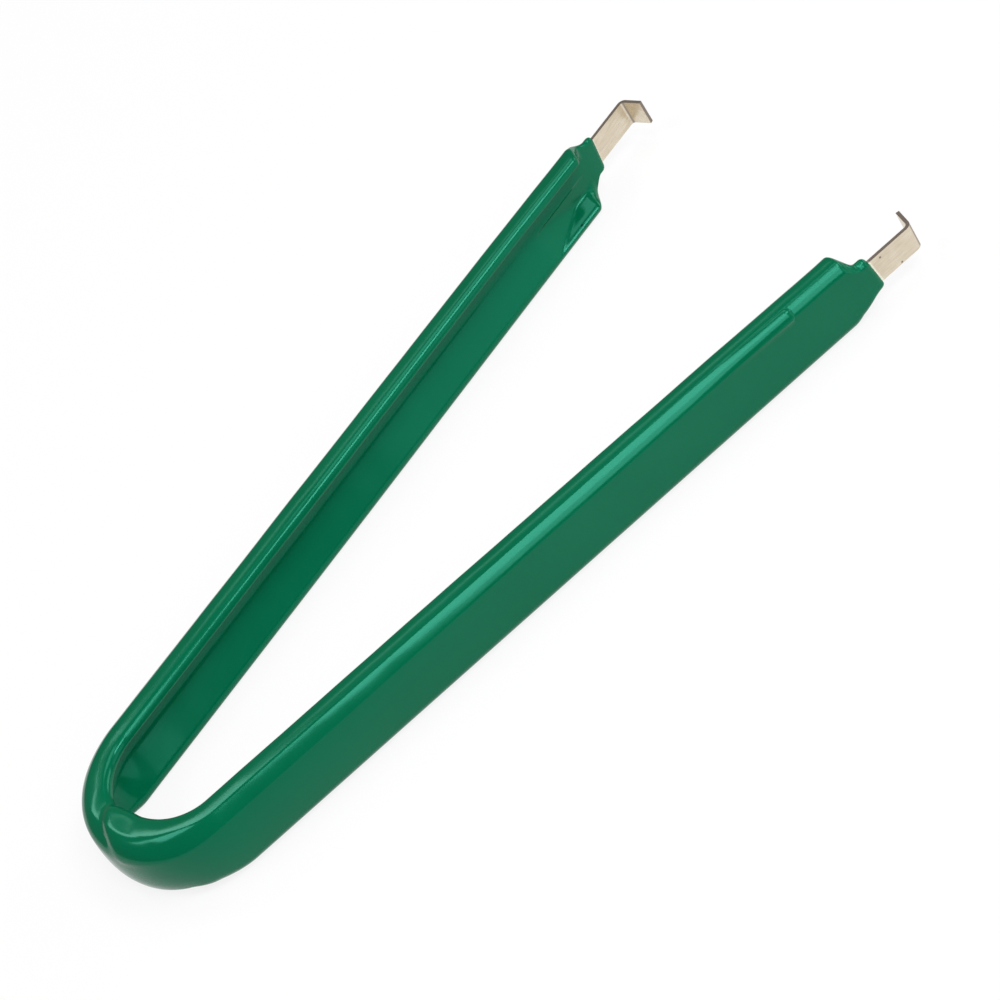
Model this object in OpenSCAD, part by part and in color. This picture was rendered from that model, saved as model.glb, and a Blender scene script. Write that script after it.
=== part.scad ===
// Chip extractor: a folded spring-steel tweezer with a dipped vinyl grip.
// The strip is a channel, bent into a U, whose necked ends carry inward hooks.
// It lies on the edges of its flanges: +X points from the bend to the hooks, +Z is up.

/* [Steel strip] */
// Thickness of the spring steel
steel_t = 0.5; // [0.4:0.05:0.65]
// Width of the channel, over its two flanges
channel_w = 9; // [8:0.1:10.5]
// Height of the flanges, from the outer face of the web
flange_h = 3; // [2.6:0.1:3.4]
// Inside radius of the flange folds
fold_r = 0.45; // [0.3:0.05:0.6]
// Radius that rounds off the free ends of the flanges
flange_end_r = 1.8; // [1:0.1:1.8]

/* [Bend and arms] */
// Radius of the U bend, at the outer face of the steel
bend_r = 12.7; // [10.5:0.1:16]
// Angle of each arm from the tool's centre line
arm_angle = 8.2; // [5:0.1:11]
// Length of each arm, from the end of the bend to the hook's outer corner
arm_len = 109.7; // [90:0.5:130]
// Angle of the notch that parts the upper flange and its fold in the middle of the bend
notch_angle = 28; // [24:1:32]

/* [Hook ends] */
// Width of the bare tips
tip_w = 3.9; // [3.2:0.1:4.6]
// Distance from the end of the flanges to the hook's outer corner
tip_len = 12.9; // [11.5:0.1:15]
// Length of the taper from the channel to the tip
shoulder_len = 3.4; // [2.5:0.1:4]
// Length of the hook's lip, from its outer corner
lip_len = 3.4; // [2.6:0.1:4.5]
// Angle that the hook is folded through
hook_turn = 80; // [65:1:95]
// Inside radius of the hook's fold
hook_r = 0.5; // [0.3:0.05:0.8]

/* [Dipped grip] */
// Thickness of the vinyl on the flat faces of the arms and the bend
coat_t = 0.55; // [0.45:0.05:0.8]
// Thickness of the vinyl on the flat faces of the necks
neck_coat_t = 0.5; // [0.4:0.05:0.7]
// Thickness of the bead of vinyl along the edges of the necks
neck_bead_t = 0.9; // [0.8:0.05:1.4]
// Width of the round bead along the rims of the flanges
rim_w = 2.1; // [1.8:0.05:2.4]
// Height of that bead over the edges of the steel
rim_t = 0.75; // [0.55:0.05:1]
// Extra width of the vinyl that pools in the corners of the channel
pool_w = 0.5; // [0.3:0.05:0.8]
// Mean length of steel left bare, from the vinyl to the hook's outer corner
bare_len = 7.3; // [6:0.1:8]
// How much more than the mean is bare on one tip, and less on the other
bare_skew = 0.4; // [0:0.05:0.6]
// How far the vinyl's edge leans along the tip, from one edge of the tip to the other
dip_lean = 0.5; // [0:0.1:1]
// How far the upper rim of the near arm runs on past the others
rim_run = 2.2; // [0:0.1:2.4]
// How far the lower shoulder of the near arm is drawn out along the neck
slope_run = 1.8; // [0:0.1:2]
// How much thinner the vinyl gets on the outer faces, from the bend to the necks
tip_thin = 0.15; // [0:0.05:0.2]
// How much lower the rims get, from the bend to the necks
rim_thin = 0.15; // [0:0.05:0.2]
// How far the upper edge of the grip falls towards the necks
rim_drop = 0.15; // [0:0.05:0.2]

/* [Heel, crease and run] */
// How far the outer face swells at the bend
crown_h = 0.4; // [0:0.05:0.6]
// Distance along the arms over which that swelling dies out
crown_len = 45; // [25:1:60]
// Extra radius of the lower outer edge round the heel of the bend
heel_round = 1; // [0:0.1:1.2]
// Extra radius of the upper outer edge beside the crease
lobe_round = 0.8; // [0:0.1:1]
// How far the grip's lower edge rises in the middle of the bend
notch_rise = 0.8; // [0:0.1:0.8]
// Depth of the crease where the flange ends meet at the bend
crease_d = 0.4; // [0.2:0.05:0.5]
// Swelling of the vinyl beside the crease
lobe_h = 0.25; // [0:0.05:0.4]
// How far the vinyl swells past the upper rim beside the crease
lap_h = 0.9; // [0:0.1:1.2]
// Height of the run of vinyl along one arm
drip_h = 0.3; // [0.1:0.05:0.5]
// Length of that run
drip_len = 8; // [5:0.5:12]
// Distance of the run's round end from the hook's outer corner
drip_from_hook = 19.3; // [17:0.1:40]

/* [Hidden] */
$fn = 96;

fold_out_r = fold_r + steel_t;
hook_out_r = hook_r + steel_t;
flange_end = arm_len - tip_len;
grip_w = channel_w + 2 * coat_t;

// The hook's fold starts where its round leaves the arm's outer face.
hook_start = arm_len - hook_out_r * tan(hook_turn / 2);
hook_centre = [hook_start, bend_r - hook_out_r];
lip_flat = lip_len - hook_out_r * tan(hook_turn / 2);
lip_base_angle = 90 - hook_turn;
lip_end = hook_centre + hook_out_r * [cos(lip_base_angle), sin(lip_base_angle)]
    + lip_flat * [sin(lip_base_angle), -cos(lip_base_angle)];

// The origin is under the middle of the tool: the bend's centre is moved back from it.
front_reach = lip_end[0] * cos(arm_angle) - lip_end[1] * sin(arm_angle);
face_share = 0.35;
heel_reach = bend_r + coat_t + crown_h * (1 - face_share * face_share);
bend_x = (heel_reach - front_reach) / 2;

function mix(a, b, share) = a + (b - a) * share;
function clamp01(x) = min(1, max(0, x));
function ease(from, to, x) = let (s = clamp01((x - from) / (to - from))) s * s * (3 - 2 * s);

// Moves from the bend's centre, at the strip's middle height, to the tool's own frame
module tool_frame() {
    translate([bend_x, 0, grip_w / 2]) children();
}

// Both arms: x runs along the arm, and the arm's outer face is at y = bend_r
module both_arms() {
    for (side = [0, 1]) mirror([0, side, 0]) rotate([0, 0, arm_angle]) children();
}

// Turns an outline in y and z into a bar along x
module along_arm(from, to) {
    translate([from, 0, 0]) rotate([90, 0, 90]) linear_extrude(to - from) children();
}

// Turns an outline in x and y into a plate of a given width, centred in z
module across_strip(width) {
    translate([0, 0, -width / 2]) linear_extrude(width) children();
}

// A block with two round corners on its outer side, which lies on the y axis of the outline
module round_backed(depth, width, r) {
    translate([-depth, -width / 2]) square([depth - r, width]);
    translate([-depth, -width / 2 + r]) square([depth, width - 2 * r]);
    for (side = [-1, 1]) translate([-r, side * (width / 2 - r)]) circle(r);
}

// The folded channel: a web with a flange along each edge
module channel_section() {
    translate([bend_r, 0]) difference() {
        round_backed(flange_h, channel_w, fold_out_r);
        translate([-steel_t, 0]) round_backed(flange_h, channel_w - 2 * steel_t, fold_r);
    }
}

// Side view of what is rounded off the free end of a flange
module flange_end_cut() {
    translate([flange_end - flange_end_r, bend_r - flange_h]) difference() {
        translate([0, -flange_h]) square([2 * flange_end_r, flange_h + flange_end_r]);
        translate([0, flange_end_r]) circle(flange_end_r);
    }
}

module channel_arm() {
    difference() {
        along_arm(0, flange_end) channel_section();
        across_strip(2 * channel_w) flange_end_cut();
    }
}

// Plan of the relief in the lower flange: its edge runs on straight where the web bends away
module relief_outline() {
    edge_y = bend_r - flange_h;
    polygon([
        [3, 0], [3, edge_y - 0.3],
        [-2 * bend_r, edge_y + 1.5], [-2 * bend_r, 0],
    ]);
}

// The bend: both flanges and their folds are cut away in the middle, so that the strip can bend
module channel_bend() {
    web_edge_z = channel_w / 2 - fold_out_r - 0.2;
    difference() {
        rotate([0, 0, 90 + arm_angle]) rotate_extrude(angle = 180 - 2 * arm_angle) channel_section();
        rotate([0, 0, 180 - notch_angle / 2]) rotate_extrude(angle = notch_angle)
            translate([0, web_edge_z]) square([2 * bend_r, channel_w]);
        translate([0, 0, -channel_w]) linear_extrude(channel_w - web_edge_z)
            for (side = [0, 1]) mirror([0, side]) rotate(arm_angle) relief_outline();
    }
}

// Flat outline of the neck and tip, seen square to the web
module tip_outline() {
    neck_w = channel_w - 2 * fold_out_r;
    overlap = flange_end_r;
    polygon([
        [flange_end - overlap, -neck_w / 2], [flange_end, -neck_w / 2],
        [flange_end + shoulder_len, -tip_w / 2], [hook_start, -tip_w / 2],
        [hook_start, tip_w / 2], [flange_end + shoulder_len, tip_w / 2],
        [flange_end, neck_w / 2], [flange_end - overlap, neck_w / 2],
    ]);
}

module tip_plate() {
    translate([0, bend_r, 0]) rotate([90, 0, 0]) linear_extrude(steel_t) tip_outline();
}

// The hook: a fold towards the other arm, then a flat lip
module hook() {
    translate(hook_centre) rotate([0, 0, lip_base_angle]) {
        rotate_extrude(angle = hook_turn)
            translate([hook_r, -tip_w / 2]) square([steel_t, tip_w]);
        translate([hook_r, -lip_flat, -tip_w / 2]) cube([steel_t, lip_flat, tip_w]);
    }
}

module strip_solid() {
    channel_bend();
    both_arms() {
        channel_arm();
        tip_plate();
        hook();
    }
}

module steel_strip() {
    color("#cfc6b4") tool_frame() strip_solid();
}

// The grip's skin is a loft of rings. A point of a ring is [depth, z], where depth runs
// inward from the steel's outer face and z from the strip's middle.
corner_steps = 5;
flank_steps = 6;

// Upper half of a ring, from the outer face over the flange to the floor of the channel.
// A half is [half width, rim height over the floor, extra radius of the outer corner].
// face_t: vinyl on the flat faces, crown: swelling of the outer face.
function half_ring(half, face_t, crown) =
    let (
        half_w = half[0],
        floor_d = steel_t + face_t,
        crest_d = floor_d + half[1],
        depth = crest_d + face_t,
        out_r = min(fold_out_r + face_t + half[2], 0.6 * depth),
        crest_r = min(rim_w / 2, 0.36 * depth),
        floor_z = max(0.1 * half_w, half_w - rim_w - pool_w),
        crest_z = half_w - crest_r
    )
    [
        [-face_t - crown * (1 - face_share * face_share), face_share * half_w],
        for (i = [0:corner_steps]) let (
            a = 180 - 90 * i / corner_steps,
            z = half_w - out_r + out_r * sin(a)
        )
            [-face_t + out_r + out_r * cos(a) - crown * (1 - pow(z / half_w, 2)), z],
        for (i = [0:corner_steps]) let (a = 90 - 90 * i / corner_steps)
            [crest_d - crest_r + crest_r * cos(a), crest_z + crest_r * sin(a)],
        for (i = [1:flank_steps]) let (s = i / flank_steps)
            [mix(crest_d, floor_d, ease(0, 1, s)), mix(crest_z, floor_z, s)],
    ];

// A whole ring, over the upper half and back by the lower
function ring(upper_half, lower_half, face_t, crown) =
    let (
        upper = half_ring(upper_half, face_t, crown),
        lower = half_ring(lower_half, face_t, crown),
        n = len(upper)
    )
    concat(upper, [for (i = [n - 1:-1:0]) [lower[i][0], -lower[i][1]]]);

// The skin along an arm, as functions of the distance from the bend.
// Side -1 is the arm at +Y and side 1 the arm at -Y.
full_lift = flange_h - steel_t + rim_t - coat_t;
lip_round = 0.7;
function coat_end(side) = arm_len - bare_len + side * bare_skew;
function edge_share(u, side) =
    let (e = clamp01((coat_end(side) - u) / lip_round)) mix(0.3, 1, sqrt(e * (2 - e)));
function taper(u) = ease(0.31 * flange_end, 0.98 * flange_end, u);
function neck_share(u, start, end) =
    ease(flange_end + 0.4 + start, flange_end + shoulder_len + 0.6 + end, u);
function skin_face_t(u, side) =
    mix(coat_t - tip_thin * taper(u), neck_coat_t, neck_share(u, 0, 0)) * edge_share(u, side);

// One half of an arm's ring. Start and end put off its run into the neck, drop lowers its edge.
function arm_half(u, side, drop, start, end) =
    let (
        full_w = grip_w / 2 - drop * ease(0.83 * flange_end, flange_end, u),
        neck_w = tip_w / 2 + neck_bead_t * edge_share(u, side),
        fall = ease(flange_end - 0.8 + 1.5 * start, flange_end + 2.2 + max(start, end), u)
    )
    [
        mix(full_w, neck_w, neck_share(u, start, end)),
        (full_lift - rim_thin * taper(u)) * (1 - fall),
        0,
    ];
function arm_crown(u) = crown_h * (1 - ease(0, crown_len, u));

// The run of vinyl swells the upper outer corner: it grows slowly and ends in a round bead
drip_end = arm_len - drip_from_hook;
function drip_swell(u) =
    let (s = (u - drip_end + drip_len) / drip_len)
    s <= 0 || s >= 1.08 ? 0 : s <= 1 ? drip_h * s * s : drip_h * (1.08 - s) / 0.08;
function drip_push(p, half_w, u) =
    let (
        v = p - [fold_r, half_w - fold_out_r],
        away = v / norm(v),
        share = ease(0.2, 0.9, away[1] - away[0] - 0.4)
    )
    p + drip_swell(u) * share * away;

// Places a ring point on an arm. Towards the tip the ring leans, as the vinyl's edge does.
function on_arm(p, u, side) =
    let (
        lean = -side * dip_lean / tip_w * ease(flange_end + shoulder_len - 1, coat_end(side), u),
        x = u + lean * p[1],
        y = bend_r - p[0]
    )
    [x * cos(arm_angle) - y * sin(arm_angle), -side * (x * sin(arm_angle) + y * cos(arm_angle)), p[1]];

function on_bend(p, angle) = let (r = bend_r - p[0]) [r * cos(angle), r * sin(angle), p[1]];

// The crease crosses the upper flange at a slant, from the rim over the corner to the outer face.
// Before it the vinyl sinks gently, and behind it the vinyl swells into a lobe.
function crease_angle(p) = 184 - 22 * clamp01(p[0] / flange_h)
    + (p[0] < 0 ? 5 * clamp01((grip_w / 2 - coat_t - p[1]) / 2) : 0);
function sink(past) = -crease_d * (1 - ease(0, past < 0 ? 11 : 5, abs(past)));
function swell(past) = lobe_h * ease(2, 9, past) * (1 - ease(9, 40, past));
function crease_push(p, angle) =
    let (
        core_z = grip_w / 2 - coat_t - steel_t / 2,
        away = p - [min(max(p[0], fold_r), flange_h - steel_t / 2), core_z],
        past = angle - crease_angle(p),
        share = p[0] < 0 ? ease(core_z - 2.4, core_z - 0.4, p[1]) : ease(core_z - 1.2, core_z, p[1])
    )
    p + away / max(norm(away), 0.01) * (sink(past) + swell(past)) * share;
function upper_lift(angle) =
    full_lift + lap_h * ease(160, 192, angle) * (1 - ease(198, 262, angle));

// The lower rim runs on straight from each arm until it meets the floor of the channel
function lower_lift(angle) =
    let (turn = 90 - arm_angle - abs(angle - 180), rim_r = bend_r - flange_h - rim_t)
    max(0, bend_r - rim_r / cos(turn) - steel_t - coat_t);
function lower_w(angle) =
    grip_w / 2 - notch_rise * (1 - ease(0, 0.75 * full_lift, lower_lift(angle)));

// Extra radius of the outer corners round the bend: above beside the crease, below at the heel
function upper_round(angle) = lobe_round * ease(150, 190, angle) * (1 - ease(225, 261, angle));
function lower_round(angle) = heel_round * ease(98, 135, angle) * (1 - ease(225, 262, angle));

function arm_ring(u, side, run, slope) =
    let (
        upper = arm_half(u, side, rim_drop, run, run / 2),
        lower = arm_half(u, side, 0, 0, slope),
        flat = ring(upper, lower, skin_face_t(u, side), arm_crown(u))
    )
    [for (p = flat) on_arm(side == 1 ? drip_push(p, upper[0], u) : p, u, side)];

function bend_ring(angle) =
    let (
        upper = [grip_w / 2, upper_lift(angle), upper_round(angle)],
        lower = [lower_w(angle), lower_lift(angle), lower_round(angle)],
        flat = ring(upper, lower, coat_t, crown_h)
    )
    [for (p = flat) on_bend(crease_push(p, angle), angle)];

// Distances of the rings from the bend: close together at the vinyl's edge and the neck
neck_steps = 14;
function end_rings(side) = concat(
    [for (e = [0, 0.05, 0.2, 0.5]) coat_end(side) - e * lip_round],
    [for (i = [0:neck_steps]) mix(coat_end(side) - lip_round, flange_end - 2, i / neck_steps)]
);
drip_rings = [for (s = [1.08, 1.04, 1, 0.9, 0.7, 0.45, 0.2, 0]) drip_end + (s - 1) * drip_len];
arm_steps = 8;
function arm_rings(from) = [for (i = [1:arm_steps - 1]) mix(from, 0, i / arm_steps)];

// Angles of the rings round the bend: close together in the middle, where the crease is
bend_steps = 20;
bend_angles = [
    for (i = [-bend_steps:bend_steps]) let (s = i / bend_steps)
        180 + (90 - arm_angle) * (0.6 * s + 0.4 * s * s * s),
];

function reversed(list) = [for (i = [len(list) - 1:-1:0]) list[i]];

skin_rings = concat(
    [for (u = concat(end_rings(-1), arm_rings(flange_end - 2))) arm_ring(u, -1, 0, 0)],
    [for (a = bend_angles) bend_ring(a)],
    [
        for (u = reversed(concat(end_rings(1), drip_rings, arm_rings(drip_end - drip_len))))
            arm_ring(u, 1, rim_run, slope_run),
    ]
);

// Joins a list of rings into one closed solid
module loft(rings) {
    n = len(rings[0]);
    last = len(rings) - 1;
    sides = [
        for (j = [0:last - 1], i = [0:n - 1]) let (
            a = j * n + i, b = j * n + (i + 1) % n, c = b + n, d = a + n
        ) each [[a, b, c], [a, c, d]],
    ];
    near_cap = [for (i = [n - 1:-1:0]) i];
    far_cap = [for (i = [0:n - 1]) last * n + i];
    polyhedron([for (r = rings) each r], concat(sides, [near_cap, far_cap]));
}

module dipped_grip() {
    color("#0f7a52") tool_frame() difference() {
        loft(skin_rings);
        strip_solid();
    }
}

steel_strip();
dipped_grip();
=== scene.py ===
import math
from types import SimpleNamespace

import bpy
import numpy as np
from mathutils import Matrix, Vector, noise


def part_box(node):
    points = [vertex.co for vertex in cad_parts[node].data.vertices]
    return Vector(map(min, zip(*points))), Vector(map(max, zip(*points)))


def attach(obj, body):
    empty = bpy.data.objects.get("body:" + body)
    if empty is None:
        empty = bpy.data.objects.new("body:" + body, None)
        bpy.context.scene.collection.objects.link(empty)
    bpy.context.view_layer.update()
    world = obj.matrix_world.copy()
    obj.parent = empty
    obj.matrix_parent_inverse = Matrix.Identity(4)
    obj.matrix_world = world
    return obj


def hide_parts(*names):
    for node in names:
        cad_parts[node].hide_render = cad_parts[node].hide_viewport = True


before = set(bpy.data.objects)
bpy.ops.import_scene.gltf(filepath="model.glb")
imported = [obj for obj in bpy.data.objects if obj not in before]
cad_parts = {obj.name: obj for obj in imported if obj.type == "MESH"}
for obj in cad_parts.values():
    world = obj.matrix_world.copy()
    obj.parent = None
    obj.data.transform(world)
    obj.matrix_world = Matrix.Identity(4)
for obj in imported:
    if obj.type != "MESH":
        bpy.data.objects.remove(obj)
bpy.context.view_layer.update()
mm = 0.001
tiny = 1e-6
print("frame loaded:", ", ".join(sorted(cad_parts)))


def toLinear(hexColour):
    channels = [int(hexColour[i:i + 2], 16) / 255 for i in (1, 3, 5)]
    return tuple(c / 12.92 if c <= 0.04045 else ((c + 0.055) / 1.055) ** 2.4 for c in channels) + (1.0,)


def addNode(tree, kind, inputs=(), **settings):
    node = tree.nodes.new("ShaderNode" + kind)
    for key, value in settings.items():
        setattr(node, key, value)
    for socket, value in dict(inputs).items():
        if isinstance(value, bpy.types.NodeSocket):
            tree.links.new(value, node.inputs[socket])
        else:
            node.inputs[socket].default_value = value
    return node


def patternScale(size):
    # texture scale of a pattern whose real size is in mm
    return 1 / (size * mm)


def newMaterial(name):
    material = bpy.data.materials.new(name)
    material.use_nodes = True
    material.node_tree.nodes.clear()
    return material, material.node_tree


# the dipped grip: one skin of vinyl run over the folded strip, in mm
# u runs along an arm from the bend, depth goes in from the steel's outer face, z is up from the middle
gripSizes = {
    # the steel inside, as the solid has it
    "steelThick": 0.5, "channelWide": 9.0, "flangeHigh": 3.0, "foldRadius": 0.45,
    "bendRadius": 12.7, "armAngle": math.radians(8.2), "armLong": 109.7, "hookReach": 107.829,
    "tipWide": 3.9, "tipLong": 12.9, "shoulderLong": 3.4,
    # the coat thins along the arms, and its upper edge falls a little
    "coatThick": 0.55, "neckThick": 0.5, "neckBead": 0.9, "rimWide": 2.1, "rimThick": 0.75, "poolWide": 0.5,
    "tipThin": 0.15, "rimThin": 0.15, "thinSpan": (30, 95), "rimDrop": 0.15, "dropSpan": (80, 97),
    # shares of the section's depth or half width that limit its rounds where it gets small
    "cornerShare": 0.6, "crestShare": 0.36, "floorShare": 0.1, "flankCurve": 0.4,
    # the upper outer edge is a broad flat bead between two tight turns, in degrees
    "edgeRadii": (0.4, 2.6, 0.5), "edgeTurns": (30, 62),
    # the top of the flange is slightly domed
    "topDrop": 0.06, "domeShare": 0.35, "domeLeast": 0.3, "domeFade": 0.25, "domeSpan": (0.3, 0.8),
    # how far the start and the end of each rim's fall into the neck are put off, near arm 1 and far arm -1
    "upperRuns": {1: (1.9, 0.6), -1: (0.5, 0.2)}, "lowerRuns": {1: (0.0, 1.8), -1: (0.0, 0.0)},
    "neckSpan": (0.4, 0.6), "fallSpan": (-0.8, 2.2), "fallDelay": 1.5,
    # where the coat ends on the tips
    "bareLong": 7.3, "bareSkew": 0.4, "dipLean": 0.5, "leanEarly": 1.0, "lipRound": 0.7, "lipShare": 0.3,
    # vinyl that drained into the lower trough, and sinks towards the tips
    "fillTurn": math.radians(32), "fillStart": 0.25, "fillStop": 0.9, "fillEnds": (86.2, 99.5),
    "fillRest": 0.24, "restShare": 0.3, "restRun": 0.8, "fillBlend": 0.2,
    # a run of vinyl along the near arm's upper edge, with its place round that edge in degrees
    "dripHigh": 0.24, "dripLong": 16.0, "dripNose": 0.8, "dripFromHook": 19.3,
    "dripAt": 38, "dripReach": 72, "dripSquare": 4, "dripTaper": 1.5,
    # the heel and the lobe beside the crease: spans are degrees round the bend, with 180 in its middle
    "crownHigh": 0.4, "crownLong": 45.0, "beadSpan": (28, 72),
    "heelRound": 1.0, "heelSpan": (98, 135, 225, 262),
    "heelBulge": 0.4, "heelLow": -1.2, "bulgeSpan": (105, 165, 205, 260),
    "lobeRound": 0.8, "roundSpan": (150, 190, 225, 261), "lapHigh": 0.9, "lapSpan": (160, 192, 198, 262),
    "notchRise": 1.0, "notchShare": 0.75,
    # the crease runs slanting over the upper flange, with the lobe on its near side
    "creaseDeep": 0.16, "creaseAt": 184, "creaseSlant": 22, "slantFrom": -0.6,
    "creaseTurn": 5, "turnRun": 2.5, "creaseFlanks": (20, 10),
    "lobeHigh": 0.26, "lobeSpan": (-1, 10, 11, 40),
    "outerFade": (2.4, 0.4), "innerFade": (1.2, 0.0), "coreLeast": 0.01,
    # unevenness left by the dip, none where the tool lies on the table
    "waveHigh": 0.05, "waveLong": 11.0, "rippleHigh": 0.012, "rippleLong": 3.5,
    "rippleShift": (7.0, 3.0, 1.0), "restSpan": (0.1, 1.6),
    # rings along the skin and points round each ring
    "ringStep": 0.8, "fineStep": 0.12, "fineBefore": 1.5, "bendClear": 0.4,
    "bendRings": 270, "bendCrowd": 0.4,
    "lipStations": (0, 0.03, 0.08, 0.16, 0.28, 0.42, 0.58, 0.76, 1),
    "noseStations": (-0.3, -0.15, 0, 0.2, 0.4, 0.6, 0.75, 0.87, 0.95, 1, 1.08),
    "faceSteps": 8, "cornerSteps": 18, "topSteps": 4, "crestSteps": 12,
    "flankSteps": 14, "fillSteps": 26, "floorSteps": 8, "faceStart": 0.02, "floorStop": 0.96,
}
grip = SimpleNamespace(**gripSizes)
grip.foldOuter = grip.foldRadius + grip.steelThick
grip.flangeEnd = grip.armLong - grip.tipLong
grip.wide = grip.channelWide + 2 * grip.coatThick
grip.fullLift = grip.flangeHigh - grip.steelThick + grip.rimThick - grip.coatThick
grip.dripEnd = grip.armLong - grip.dripFromHook
# the middle of the bend
bendPlace = Vector((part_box("steel_strip")[1].x / mm - grip.hookReach, 0.0, grip.wide / 2))


def clamp(x):
    return min(max(x, 0.0), 1.0)


def mix(a, b, s):
    return a + (b - a) * s


def ease(start, end, x):
    s = clamp((x - start) / (end - start))
    return s * s * (3 - 2 * s)


def hump(span, x):
    # rises over the first two values of the span and falls over the last two
    return ease(*span[:2], x) * (1 - ease(*span[2:], x))


def softMax(a, b, blend):
    s = clamp(0.5 + 0.5 * (a - b) / blend)
    return mix(b, a, s) + blend * s * (1 - s)


def onArm(u, w, z, side):
    # from the bend's middle: u along the arm, w out from the centre line, side 1 near and -1 far
    cosA, sinA = math.cos(grip.armAngle), math.sin(grip.armAngle)
    return u * cosA - w * sinA, -side * (u * sinA + w * cosA), z


def beadCorner(angle):
    # three arcs in one: a tight turn off the face, a broad flat bead, a tight turn onto the top
    low, high = grip.edgeTurns
    depth = rise = 0.0
    for radius, start, end in zip(grip.edgeRadii, (0, low, high), (low, high, 90)):
        a, b = math.radians(start), math.radians(min(max(angle, start), end))
        depth += radius * (math.cos(a) - math.cos(b))
        rise += radius * (math.sin(b) - math.sin(a))
    return depth, rise


def outerEdge(halfWide, faceThick, outerR, bead):
    # between a plain round and the flat bead
    full = beadCorner(90)
    scale = outerR / full[0]
    points = []
    for i in range(grip.cornerSteps + 1):
        angle = 90 * i / grip.cornerSteps
        a = math.radians(angle)
        flat = beadCorner(angle)
        depth = mix(outerR * (1 - math.cos(a)), scale * flat[0], bead)
        drop = mix(outerR * (1 - math.sin(a)), scale * (full[1] - flat[1]), bead)
        points.append((depth - faceThick, halfWide - drop))
    return points


def plainFlank(s, crest, floor):
    # the inner side of a flange, from the crest of its rim to the floor of the trough
    return mix(crest[0], floor[0], mix(s, ease(0, 1, s), grip.flankCurve)), mix(crest[1], floor[1], s)


def fillFlank(s, crest, crestR, floor, rest, fill):
    # the lower trough filled to a slope that leaves the crest smoothly and reaches the middle of the floor
    a = grip.fillTurn * min(s / grip.fillStart, 1)
    t = grip.fillStop * max(0.0, s - grip.fillStart) / (1 - grip.fillStart)
    depth = mix(crest[0] - crestR + crestR * math.cos(a), floor[0] + rest, t)
    z = mix(crest[1] - crestR * math.sin(a), 0, t)
    # towards the tips the fill sinks and leaves the flange's inner side bare as a ledge
    sink = (1 - fill) * (crest[0] - floor[0] + grip.fillRest)
    bare = plainFlank(clamp((crest[1] - z) / (crest[1] - floor[1])), crest, floor)[0]
    return softMax(bare, depth - sink, max(min(grip.fillBlend, sink), tiny)), z


def halfRing(halfWide, faceThick, lift, rounder, crown, bead, fill, rest):
    # half of one cross section, from the middle of the outer face round to the middle of the floor
    floorDepth = grip.steelThick + faceThick
    crestDepth = floorDepth + lift
    depth = crestDepth + faceThick
    outerR = min(grip.foldOuter + faceThick + rounder, grip.cornerShare * depth)
    crestR = min(grip.rimWide / 2, grip.crestShare * depth)
    crest = crestDepth, halfWide - crestR
    floor = floorDepth, max(grip.floorShare * halfWide, halfWide - grip.rimWide - grip.poolWide)
    points = []
    for i in range(grip.faceSteps):
        points.append((-faceThick, mix(grip.faceStart, 1, i / grip.faceSteps) * (halfWide - outerR)))
    points += outerEdge(halfWide, faceThick, outerR, bead)
    points = [(d - crown * (1 - (z / halfWide) ** 2), z) for d, z in points]
    for i in range(1, grip.topSteps):
        points.append((mix(outerR - faceThick, crestDepth - crestR, i / grip.topSteps), halfWide))
    for i in range(grip.crestSteps + 1):
        a = math.radians(90 - 90 * i / grip.crestSteps)
        points.append((crestDepth - crestR + crestR * math.cos(a), crest[1] + crestR * math.sin(a)))
    if fill is None:
        for i in range(1, grip.flankSteps + 1):
            points.append(plainFlank(i / grip.flankSteps, crest, floor))
    else:
        for i in range(1, grip.fillSteps + 1):
            points.append(fillFlank(i / grip.fillSteps, crest, crestR, floor, rest, fill))
    lastDepth, lastZ = points[-1]
    for i in range(1, grip.floorSteps):
        s = grip.floorStop * i / (grip.floorSteps - 1)
        z = lastZ * (1 - s)
        # what the fill leaves at the middle runs out on the other half's floor
        level = floorDepth + rest * max(0.0, 1 - z / grip.restRun) ** 2
        points.append((level if fill is None else mix(lastDepth, floorDepth + rest, s), z))
    return points


def domeTop(points, halfWide, lift):
    # the skin pulls back from both edges of the flange's top
    middle = grip.steelThick + lift / 2
    half = max(grip.domeShare * lift, grip.domeLeast)
    low, high = (share * halfWide for share in grip.domeSpan)
    domed = []
    for d, z in points:
        x2 = ((d - middle) / half) ** 2
        drop = grip.topDrop * clamp(lift / grip.fullLift) * x2 / (1 + grip.domeFade * x2)
        domed.append((d, z - drop * ease(low, high, z)))
    return domed


def wholeRing(upper, lower, faceThick, crown, bead, fill, rounder=(0.0, 0.0)):
    # upper and lower are the half width and the rim height of each half; only the lower one is filled
    rest = fill * min(grip.fillRest, grip.restShare * lower[1])
    top = halfRing(upper[0], faceThick, upper[1], rounder[0], crown, bead, None, rest)
    top = domeTop(top, upper[0], upper[1])
    bottom = halfRing(lower[0], faceThick, lower[1], rounder[1], crown, 0.0, fill, rest)
    return top + [(d, -z) for d, z in reversed(bottom)]


def coatEnd(side):
    return grip.armLong - grip.bareLong + side * grip.bareSkew


def edgeShare(u, side):
    # the coat thins to a round lip at its end
    e = clamp((coatEnd(side) - u) / grip.lipRound)
    return mix(grip.lipShare, 1, math.sqrt(e * (2 - e)))


def dripSwell(u, lean):
    # the run grows slowly and ends in a round nose; lean is the angle round the edge, from face to top
    across = abs((lean - grip.dripAt) / grip.dripReach) ** grip.dripSquare
    along = max(0.0, u - grip.dripEnd) / grip.dripNose
    grown = clamp(1 - (grip.dripEnd - u) / grip.dripLong)
    return grip.dripHigh * grown ** grip.dripTaper * math.sqrt(max(0.0, 1 - across - along ** 2))


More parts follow.
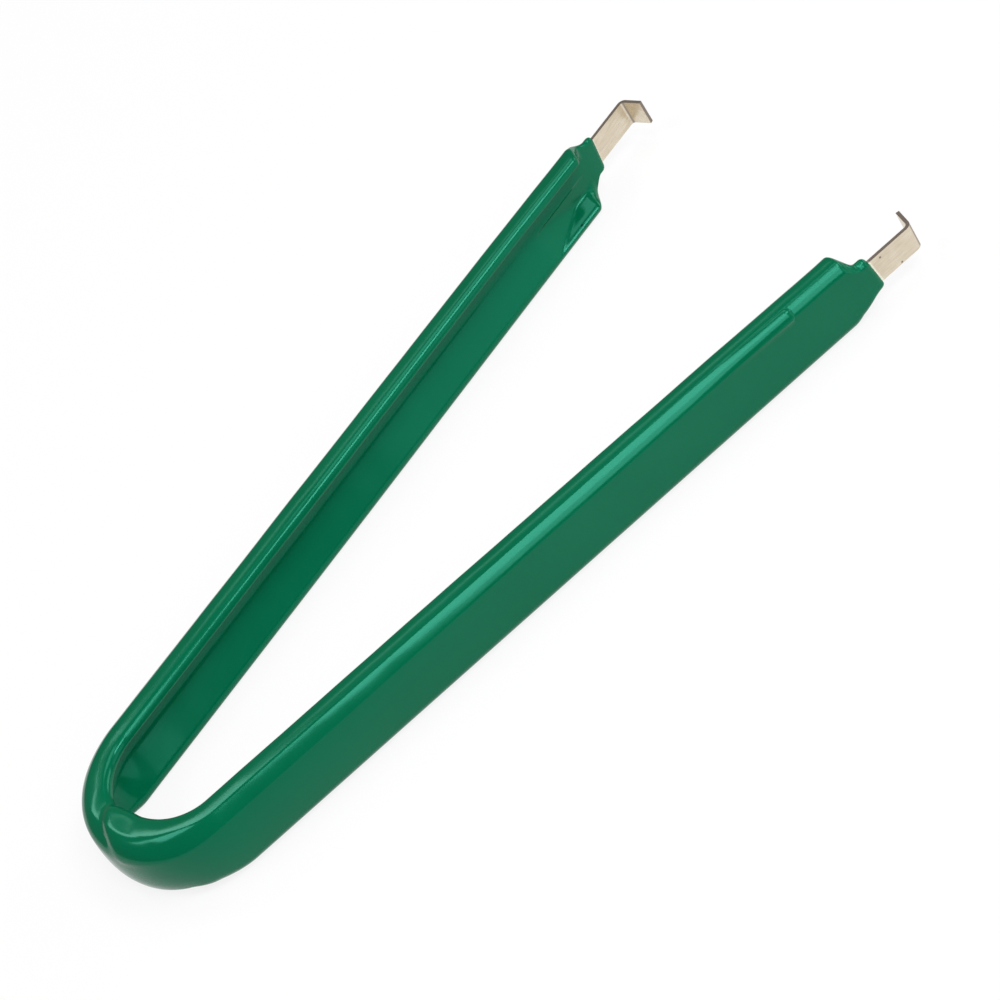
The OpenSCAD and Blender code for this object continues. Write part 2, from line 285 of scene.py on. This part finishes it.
def dripPush(point, halfWide, u):
    vx, vz = point[0] - grip.foldRadius, point[1] - (halfWide - grip.foldOuter)
    length = max(math.hypot(vx, vz), tiny)
    lean = math.degrees(math.atan2(vz, -vx))
    swell = dripSwell(u, lean) / length
    return point[0] + swell * vx, point[1] + swell * vz


def neckShare(u, start, end):
    early, late = grip.neckSpan
    return ease(grip.flangeEnd + early + start, grip.flangeEnd + grip.shoulderLong + late + end, u)


def armHalf(u, side, drop, run):
    # half width and rim height of one half of the section
    start, end = run
    full = grip.wide / 2 - drop * ease(*grip.dropSpan, u)
    wide = mix(full, grip.tipWide / 2 + grip.neckBead * edgeShare(u, side), neckShare(u, start, end))
    early, late = grip.fallSpan
    fall = ease(grip.flangeEnd + early + grip.fallDelay * start, grip.flangeEnd + late + max(end, start), u)
    return wide, (grip.fullLift - grip.rimThin * ease(*grip.thinSpan, u)) * (1 - fall)


def armRing(u, side):
    upper = armHalf(u, side, grip.rimDrop, grip.upperRuns[side])
    lower = armHalf(u, side, 0.0, grip.lowerRuns[side])
    thin = grip.coatThick - grip.tipThin * ease(*grip.thinSpan, u)
    faceThick = mix(thin, grip.neckThick, neckShare(u, 0, 0)) * edgeShare(u, side)
    fillFrom, fillTo = grip.fillEnds
    fill = 1 - clamp((u - fillFrom) / (fillTo - fillFrom))
    crown = grip.crownHigh * (1 - ease(0, grip.crownLong, u))
    ring = wholeRing(upper, lower, faceThick, crown, 1.0, fill)
    if side == 1:
        ring = [dripPush(p, upper[0], u) for p in ring]
    leanFrom = grip.flangeEnd + grip.shoulderLong - grip.leanEarly
    lean = -side * grip.dipLean / grip.tipWide * ease(leanFrom, coatEnd(side), u)
    return [onArm(u + lean * z, grip.bendRadius - depth, z, side) for depth, z in ring]


def creasePush(point, angle):
    # pushes the skin in along the crease and out beside it, square to the flange inside
    depth, z = point
    corner = grip.wide / 2 - grip.coatThick
    coreZ = corner - grip.steelThick / 2
    slant = grip.creaseSlant * ease(grip.slantFrom, grip.flangeHigh, depth)
    past = angle - (grip.creaseAt - slant + grip.creaseTurn * ease(0, grip.turnRun, corner - z))
    before, after = grip.creaseFlanks
    sink = -grip.creaseDeep * (1 - ease(0, before if past < 0 else after, abs(past)))
    swell = grip.lobeHigh * hump(grip.lobeSpan, past)
    low, high = grip.outerFade if depth < 0 else grip.innerFade
    share = ease(coreZ - low, coreZ - high, z)
    ax = depth - min(max(depth, grip.foldRadius), grip.flangeHigh - grip.steelThick / 2)
    az = z - coreZ
    push = (sink + swell) * share / max(math.hypot(ax, az), grip.coreLeast)
    return depth + ax * push, z + az * push


def bendRing(angle):
    turn = math.radians(90 - abs(angle - 180)) - grip.armAngle
    rimR = grip.bendRadius - grip.flangeHigh - grip.rimThick
    upperLift = grip.fullLift + grip.lapHigh * hump(grip.lapSpan, angle)
    lowerLift = max(0.0, grip.bendRadius - rimR / math.cos(turn) - grip.steelThick - grip.coatThick)
    notch = 1 - ease(0, grip.notchShare * grip.fullLift, lowerLift)
    lowerWide = grip.wide / 2 - grip.notchRise * notch
    rounder = grip.lobeRound * hump(grip.roundSpan, angle), grip.heelRound * hump(grip.heelSpan, angle)
    bead = ease(*grip.beadSpan, abs(angle - 180))
    ring = wholeRing((grip.wide / 2, upperLift), (lowerWide, lowerLift), grip.coatThick, grip.crownHigh,
                     bead, 1.0, rounder)
    bulge = grip.heelBulge * hump(grip.bulgeSpan, angle)
    a = math.radians(angle)
    placed = []
    for point in ring:
        depth, z = creasePush(point, angle)
        # the vinyl drained to the heel and is thickest low down on its outer face
        if depth < grip.foldRadius:
            end = grip.wide / 2 if z > grip.heelLow else -lowerWide
            reach = (z - grip.heelLow) / (end - grip.heelLow)
            depth -= bulge * max(0.0, 1 - reach * reach) * ease(grip.foldRadius, -grip.coatThick, depth)
        r = grip.bendRadius - depth
        placed.append((r * math.cos(a), r * math.sin(a), z))
    return placed


def armStations(side):
    # where the rings lie along an arm: close together at the lip, the neck and the run's nose
    end = coatEnd(side)
    stations = [end - share * grip.lipRound for share in grip.lipStations]
    fine = np.arange(end - grip.lipRound - grip.fineStep, grip.flangeEnd - grip.fineBefore, -grip.fineStep)
    stations += list(fine)
    stations += list(np.arange(fine[-1] - grip.ringStep, grip.bendClear, -grip.ringStep))
    if side == 1:
        stations += [grip.dripEnd + share * grip.dripNose for share in grip.noseStations]
    return sorted(set(stations), reverse=True)


def gripMesh():
    rings = [armRing(u, -1) for u in armStations(-1)]
    sweep = 90 - math.degrees(grip.armAngle)
    for i in range(grip.bendRings + 1):
        s = 2 * i / grip.bendRings - 1
        rings.append(bendRing(180 + sweep * mix(s, s ** 3, grip.bendCrowd)))
    rings += [armRing(u, 1) for u in reversed(armStations(1))]
    points = np.array(rings)
    ringCount, ringSize = points.shape[:2]
    verts = ((points.reshape(-1, 3) + np.array(bendPlace)) * mm).tolist()
    faces = []
    for r in range(ringCount - 1):
        here, there = r * ringSize, (r + 1) * ringSize
        for p in range(ringSize):
            q = (p + 1) % ringSize
            faces.append((here + p, there + p, there + q, here + q))
    last = (ringCount - 1) * ringSize
    faces.append(tuple(range(ringSize)))
    faces.append(tuple(last + p for p in reversed(range(ringSize))))
    mesh = bpy.data.meshes.new("vinylGrip")
    mesh.from_pydata(verts, [], faces)
    mesh.validate()
    return mesh


def settle(mesh):
    # the dip dries a little uneven, in long waves and short ripples
    for vertex, normal in zip(mesh.vertices, [n.vector.copy() for n in mesh.vertex_normals]):
        place = vertex.co / mm
        wave = grip.waveHigh * noise.noise(place / grip.waveLong)
        ripple = grip.rippleHigh * noise.noise(place / grip.rippleLong + Vector(grip.rippleShift))
        vertex.co += normal * (wave + ripple) * ease(*grip.restSpan, place.z) * mm


gripPiece = bpy.data.objects.new("vinylGrip", gripMesh())
settle(gripPiece.data)
bpy.context.scene.collection.objects.link(gripPiece)
gripPiece.data.polygons.foreach_set("use_smooth", [True] * len(gripPiece.data.polygons))
print("grip skin:", len(gripPiece.data.vertices), "points")


# plastisol dip: PVC cured on the hot steel, an even deep green under a wet gloss with faint flow marks
vinyl = {
    "deep": "#005738", "fresh": "#016242", "roughness": (0.11, 0.16),
    "ior": 1.53, "gloss": 0.36, "glossTint": "#78ffe2",
    "cloudLong": 16.0, "cloudSpan": (0.3, 0.7), "flowLong": 26.0, "flowWide": 2.4, "flowDeep": 0.006,
    "peelWide": 0.9, "peelDeep": 0.0012,   # real orange peel is finer, drawn coarse enough to show
    # the pinhole's dark colour is painted shade of a hole that the skin does not have
    "pinhole": (92.5, 9.6, -3.75), "pinholeWide": 0.5, "pinholeEdge": (0.3, 0.6), "pinholeShade": "#03291c",
}


def plastisolDip():
    material, tree = newMaterial("plastisolDip")
    place = addNode(tree, "TexCoord").outputs["Object"]
    cloud = addNode(tree, "TexNoise", {
        "Vector": place, "Scale": patternScale(vinyl["cloudLong"]), "Detail": 3.0})
    tone = addNode(tree, "Mix", {
        0: cloud.outputs["Fac"], 6: toLinear(vinyl["deep"]), 7: toLinear(vinyl["fresh"])}, data_type="RGBA")
    low, high = vinyl["cloudSpan"]
    smooth, rough = vinyl["roughness"]
    shine = addNode(tree, "MapRange", {0: cloud.outputs["Fac"], 1: low, 2: high, 3: smooth, 4: rough})
    # flow marks run along the arms, as the tool was drawn out of the dip
    stretch = [patternScale(vinyl[size]) for size in ("flowLong", "flowWide", "flowWide")]
    along = addNode(tree, "Mapping", {"Vector": place, "Scale": stretch})
    flow = addNode(tree, "TexNoise", {"Vector": along.outputs[0], "Scale": 1.0, "Detail": 2.0})
    peel = addNode(tree, "TexNoise", {
        "Vector": place, "Scale": patternScale(vinyl["peelWide"]), "Detail": 1.0})
    flowed = addNode(tree, "Bump", {"Height": flow.outputs["Fac"], "Distance": vinyl["flowDeep"] * mm})
    peeled = addNode(tree, "Bump", {"Height": peel.outputs["Fac"], "Distance": vinyl["peelDeep"] * mm,
                                    "Normal": flowed.outputs["Normal"]})
    # one pinhole where an air bubble burst, on the lower flange of the far arm; the hole is not in the
    # skin, only its shade is painted as a dark spot
    spot = (bendPlace + Vector(onArm(*vinyl["pinhole"], -1))) * mm
    reach = addNode(tree, "VectorMath", {0: place, 1: spot}, operation="DISTANCE")
    inner, outer = (share * vinyl["pinholeWide"] * mm for share in vinyl["pinholeEdge"])
    holeShade = addNode(tree, "MapRange", {0: reach.outputs["Value"], 1: inner, 2: outer, 3: 1.0, 4: 0.0})
    toneWithPinholeShade = addNode(tree, "Mix", {
        0: holeShade.outputs[0], 6: tone.outputs[2], 7: toLinear(vinyl["pinholeShade"])}, data_type="RGBA")
    skin = addNode(tree, "BsdfPrincipled", {
        "Base Color": toneWithPinholeShade.outputs[2], "Roughness": shine.outputs[0], "IOR": vinyl["ior"],
        "Specular IOR Level": vinyl["gloss"], "Specular Tint": toLinear(vinyl["glossTint"]),
        "Normal": peeled.outputs["Normal"]})
    addNode(tree, "OutputMaterial", {"Surface": skin.outputs["BSDF"]})
    return material


gripPiece.data.materials.append(plastisolDip())
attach(gripPiece, "root")
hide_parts("dipped_grip")


# nickel-plated spring steel: warm silver faces with faint rolling lines, dull sheared edges, painted shade
# along the hooks' folds and a painted highlight where the coat ends
steel = {
    "plate": "#e2d7c3", "dull": "#d2c5af", "shearedAndFoldShade": "#8d8177",
    "roughness": (0.24, 0.36), "edgeRoughness": 0.5,
    "rollLong": 9.0, "rollWide": 0.3,   # real rolling lines are finer, drawn coarse enough to show
    "cloudLong": 2.6, "wornSpan": (0.12, 0.42),
    # specks on the near arm: distance along it and height over its middle
    "specks": ((104.2, 1.35), (106.4, -1.7)), "speckWide": 0.3, "speckEdge": (0.2, 0.7), "speckShare": 0.9,
    "speckDark": "#54493c",
    # a painted highlight along the coat's end on the steel: its length, edges, share and colour
    "coatEndHighlightLong": 0.28, "coatEndHighlightEdge": (0.5, 1.0), "coatEndHighlightShare": 0.85, "coatEndHighlight": "#f6f3e2",
    # parts of the normal between which a face gets painted shade as a fold, counts as the hook's end, as
    # forward or as an edge
    "foldShadeIn": (0.36, 0.55), "foldShadeOut": (0.78, 0.93), "foldShadeShare": 0.75,
    "inwardSpan": (-0.9, -0.94), "forwardSpan": (0.2, 0.26), "edgeSpan": (0.6, 0.9),
}


def paintedCoatEndHighlight(tree, part, place, side):
    # a thin pale band of painted highlight, not metal, on the steel where the coat ends, on the lean that
    # the coat has
    tilt = grip.dipLean / grip.tipWide
    atMiddle = (grip.bareSkew + tilt * bendPlace.z) * mm
    skew = addNode(tree, "Math", {0: part.outputs["Z"], 1: -tilt, 2: atMiddle}, operation="MULTIPLY_ADD")
    skew = addNode(tree, "Math", {0: skew.outputs[0], 1: side.outputs[0]}, operation="MULTIPLY")
    spread = addNode(tree, "VectorMath", {0: place}, operation="ABSOLUTE")
    cosA, sinA = math.cos(grip.armAngle), math.sin(grip.armAngle)
    reach = addNode(tree, "VectorMath", {0: spread.outputs[0], 1: (cosA, sinA, 0)}, operation="DOT_PRODUCT")
    bare = addNode(tree, "Math", {0: reach.outputs["Value"], 1: skew.outputs[0]}, operation="ADD")
    start = (grip.armLong - grip.bareLong + bendPlace.x * cosA) * mm
    inner, outer = (start + share * steel["coatEndHighlightLong"] * mm for share in steel["coatEndHighlightEdge"])
    return addNode(tree, "MapRange", {
        0: bare.outputs[0], 1: inner, 2: outer, 3: steel["coatEndHighlightShare"], 4: 0.0})


def edgesAndFoldShade(tree, normal, side):
    # painted shade along the hooks' folds, and the sheared edges, which are bare and darker
    facing = addNode(tree, "SeparateXYZ", {0: normal})
    turned = addNode(tree, "VectorMath", {0: normal}, operation="ABSOLUTE")
    turned = addNode(tree, "SeparateXYZ", {0: turned.outputs[0]})
    low, high = steel["foldShadeIn"]
    foldShadeIn = addNode(tree, "MapRange", {0: turned.outputs["X"], 1: low, 2: high})
    low, high = steel["foldShadeOut"]
    foldShadeOut = addNode(tree, "MapRange", {
        0: turned.outputs["X"], 1: low, 2: high, 3: steel["foldShadeShare"], 4: 0.0})
    foldShade = addNode(tree, "Math", {0: foldShadeIn.outputs[0], 1: foldShadeOut.outputs[0]}, operation="MULTIPLY")
    # the sheared edges face up and down, and inwards at the ends of the hooks
    inward = addNode(tree, "Math", {0: facing.outputs["Y"], 1: side.outputs[0]}, operation="MULTIPLY")
    low, high = steel["inwardSpan"]
    inward = addNode(tree, "MapRange", {0: inward.outputs[0], 1: low, 2: high, 3: 0.0, 4: 1.0})
    low, high = steel["forwardSpan"]
    forward = addNode(tree, "MapRange", {0: facing.outputs["X"], 1: low, 2: high})
    hookEnd = addNode(tree, "Math", {0: inward.outputs[0], 1: forward.outputs[0]}, operation="MULTIPLY")
    low, high = steel["edgeSpan"]
    upright = addNode(tree, "MapRange", {0: turned.outputs["Z"], 1: low, 2: high})
    edge = addNode(tree, "Math", {0: upright.outputs[0], 1: hookEnd.outputs[0]}, operation="MAXIMUM")
    return addNode(tree, "Math", {0: edge.outputs[0], 1: foldShade.outputs[0]}, operation="MAXIMUM")


def platedSteel():
    material, tree = newMaterial("platedSpringSteel")
    coords = addNode(tree, "TexCoord")
    place = coords.outputs["Object"]
    stretch = [patternScale(steel[size]) for size in ("rollLong", "rollWide", "rollWide")]
    along = addNode(tree, "Mapping", {"Vector": place, "Scale": stretch})
    lines = addNode(tree, "TexNoise", {"Vector": along.outputs[0], "Scale": 1.0, "Detail": 3.0})
    cloud = addNode(tree, "TexNoise", {
        "Vector": place, "Scale": patternScale(steel["cloudLong"]), "Detail": 3.0})
    worn = addNode(tree, "Math", {0: lines.outputs["Fac"], 1: cloud.outputs["Fac"]}, operation="MULTIPLY")
    low, high = steel["wornSpan"]
    share = addNode(tree, "MapRange", {0: worn.outputs[0], 1: low, 2: high})
    tone = addNode(tree, "Mix", {
        0: share.outputs[0], 6: toLinear(steel["plate"]), 7: toLinear(steel["dull"])},
        data_type="RGBA").outputs[2]
    smooth, rough = steel["roughness"]
    shine = addNode(tree, "MapRange", {0: share.outputs[0], 3: smooth, 4: rough})
    part = addNode(tree, "SeparateXYZ", {0: place})
    side = addNode(tree, "Math", {0: part.outputs["Y"]}, operation="SIGN")
    # the painted highlight at the coat's end takes the place of metal there
    coatEndHighlight = paintedCoatEndHighlight(tree, part, place, side)
    tone = addNode(tree, "Mix", {0: coatEndHighlight.outputs[0], 6: tone, 7: toLinear(steel["coatEndHighlight"])},
                   data_type="RGBA").outputs[2]
    inner, outer = (edge * steel["speckWide"] * mm for edge in steel["speckEdge"])
    for u, z in steel["specks"]:
        spot = (bendPlace + Vector(onArm(u, grip.bendRadius, z, 1))) * mm
        reach = addNode(tree, "VectorMath", {0: place, 1: spot}, operation="DISTANCE")
        near = addNode(tree, "MapRange", {0: reach.outputs["Value"], 1: inner, 2: outer,
                                          3: steel["speckShare"], 4: 0.0})
        tone = addNode(tree, "Mix", {0: near.outputs[0], 6: tone, 7: toLinear(steel["speckDark"])},
                       data_type="RGBA").outputs[2]
    edgeAndFoldShade = edgesAndFoldShade(tree, coords.outputs["Normal"], side)
    # the sheared edges' own darker colour, which also paints shade along the hooks' folds
    tone = addNode(tree, "Mix", {0: edgeAndFoldShade.outputs[0], 6: tone, 7: toLinear(steel["shearedAndFoldShade"])},
                   data_type="RGBA").outputs[2]
    dulled = addNode(tree, "Mix", {0: edgeAndFoldShade.outputs[0], 2: shine.outputs[0], 3: steel["edgeRoughness"]})
    metal = addNode(tree, "Math", {0: 1.0, 1: coatEndHighlight.outputs[0]}, operation="SUBTRACT")
    skin = addNode(tree, "BsdfPrincipled", {
        "Base Color": tone, "Metallic": metal.outputs[0], "Roughness": dulled.outputs[0]})
    addNode(tree, "OutputMaterial", {"Surface": skin.outputs["BSDF"]})
    return material


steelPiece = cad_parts["steel_strip"]
steelPiece.data.materials.clear()
steelPiece.data.materials.append(platedSteel())
print("materials on")


# studio: a pale floor, a window on the camera's side, panels and cards to the right, panes behind
studio = {
    "floor": "#e8e8e8", "floorSize": 6.0, "floorGlow": 0.84, "worldLight": 0.2,
    # azimuth and elevation in degrees, distance and size in metres, brightness
    "lights": {
        "tallWindow": (7, 61, 1.0, (0.3, 0.58), 7.5),
        "windowFoot": (6, 35, 1.0, (0.3, 0.36), 4.5),
        "keyPanel": (42, 53, 1.0, (0.34, 0.26), 9.0),
        "lowCard": (45, 16, 1.0, (0.6, 0.6), 1.0),
        "sideCard": (84, 22, 1.0, (0.4, 0.35), 3.0),
        "topPanel": (105, 66, 1.0, (0.5, 0.34), 2.8),
        "backStrip": (162, 46, 0.9, (0.3, 0.06), 2.0),
        "backPaneRight": (-174, 52, 0.9, (0.14, 0.26), 6.0),
        "backPaneLeft": (-110, 60, 0.9, (0.4, 0.24), 6.0),
    },
}


def direction(azimuth, elevation):
    # azimuth 0 is towards the camera's side, 90 to the right
    az, el = math.radians(azimuth), math.radians(elevation)
    return Vector((math.sin(az) * math.cos(el), -math.cos(az) * math.cos(el), math.sin(el)))


def addFloor():
    half = studio["floorSize"] / 2
    mesh = bpy.data.meshes.new("floor")
    corners = [(-half, -half, 0), (half, -half, 0), (half, half, 0), (-half, half, 0)]
    mesh.from_pydata(corners, [], [(0, 1, 2, 3)])
    floor = bpy.data.objects.new("floor", mesh)
    bpy.context.scene.collection.objects.link(floor)
    material, tree = newMaterial("paleFloor")
    path = addNode(tree, "LightPath")
    seen = path.outputs["Is Camera Ray"]
    for ray in ("Is Glossy Ray", "Is Transmission Ray"):
        seen = addNode(tree, "Math", {0: seen, 1: path.outputs[ray]}, operation="MAXIMUM").outputs[0]
    share = addNode(tree, "Math", {0: seen, 1: studio["floorGlow"]}, operation="MULTIPLY")
    matt = addNode(tree, "BsdfDiffuse", {"Color": toLinear(studio["floor"])})
    white = addNode(tree, "Emission", {"Color": (1, 1, 1, 1), "Strength": 1.0})
    both = addNode(tree, "MixShader", {0: share.outputs[0], 1: matt.outputs[0], 2: white.outputs[0]})
    addNode(tree, "OutputMaterial", {"Surface": both.outputs[0]})
    mesh.materials.append(material)


def addWorld():
    world = bpy.data.worlds.new("studioWorld")
    world.use_nodes = True
    tree = world.node_tree
    tree.nodes.clear()
    light = addNode(tree, "Background", {"Color": (1, 1, 1, 1), "Strength": studio["worldLight"]})
    addNode(tree, "OutputWorld", {"Surface": light.outputs[0]})
    bpy.context.scene.world = world


def addSoftbox(name, azimuth, elevation, away, size, brightness):
    place = direction(azimuth, elevation) * away
    lamp = bpy.data.lights.new(name, "AREA")
    lamp.shape = "RECTANGLE"
    lamp.size, lamp.size_y = size
    lamp.energy = math.pi * size[0] * size[1] * brightness
    lampObject = bpy.data.objects.new(name, lamp)
    lampObject.location = place
    lampObject.rotation_euler = (-place).to_track_quat("-Z", "Y").to_euler()
    bpy.context.scene.collection.objects.link(lampObject)


addFloor()
addWorld()
for name, values in studio["lights"].items():
    addSoftbox(name, *values)
print("studio lit")


# camera where the photograph was taken from, in mm and degrees
view = {
    "azimuth": -15.306, "elevation": 42.242, "roll": -36.589, "aimFromBend": (50.5, -6.037, 0.0),
    "away": 375.65, "focalPixels": 3039.31, "imagePixels": 1000, "sensor": 36.0, "clipStart": 0.01,
}


def addCamera():
    back = direction(view["azimuth"], view["elevation"])
    roll = math.radians(view["roll"])
    level = (-back).cross(Vector((0, 0, 1))).normalized()
    rise = level.cross(-back)
    right = math.cos(roll) * level + math.sin(roll) * rise
    up = -math.sin(roll) * level + math.cos(roll) * rise
    place = (bendPlace + Vector(view["aimFromBend"]) + back * view["away"]) * mm
    lens = bpy.data.cameras.new("photoCamera")
    lens.sensor_width = view["sensor"]
    lens.lens = view["focalPixels"] / view["imagePixels"] * lens.sensor_width
    lens.clip_start = view["clipStart"]
    camera = bpy.data.objects.new("photoCamera", lens)
    turn = Matrix((right, up, back)).transposed().to_4x4()
    camera.matrix_world = Matrix.Translation(place) @ turn
    bpy.context.scene.collection.objects.link(camera)
    bpy.context.scene.camera = camera


addCamera()
bpy.context.scene.view_settings.view_transform = "Standard"
print("camera set")
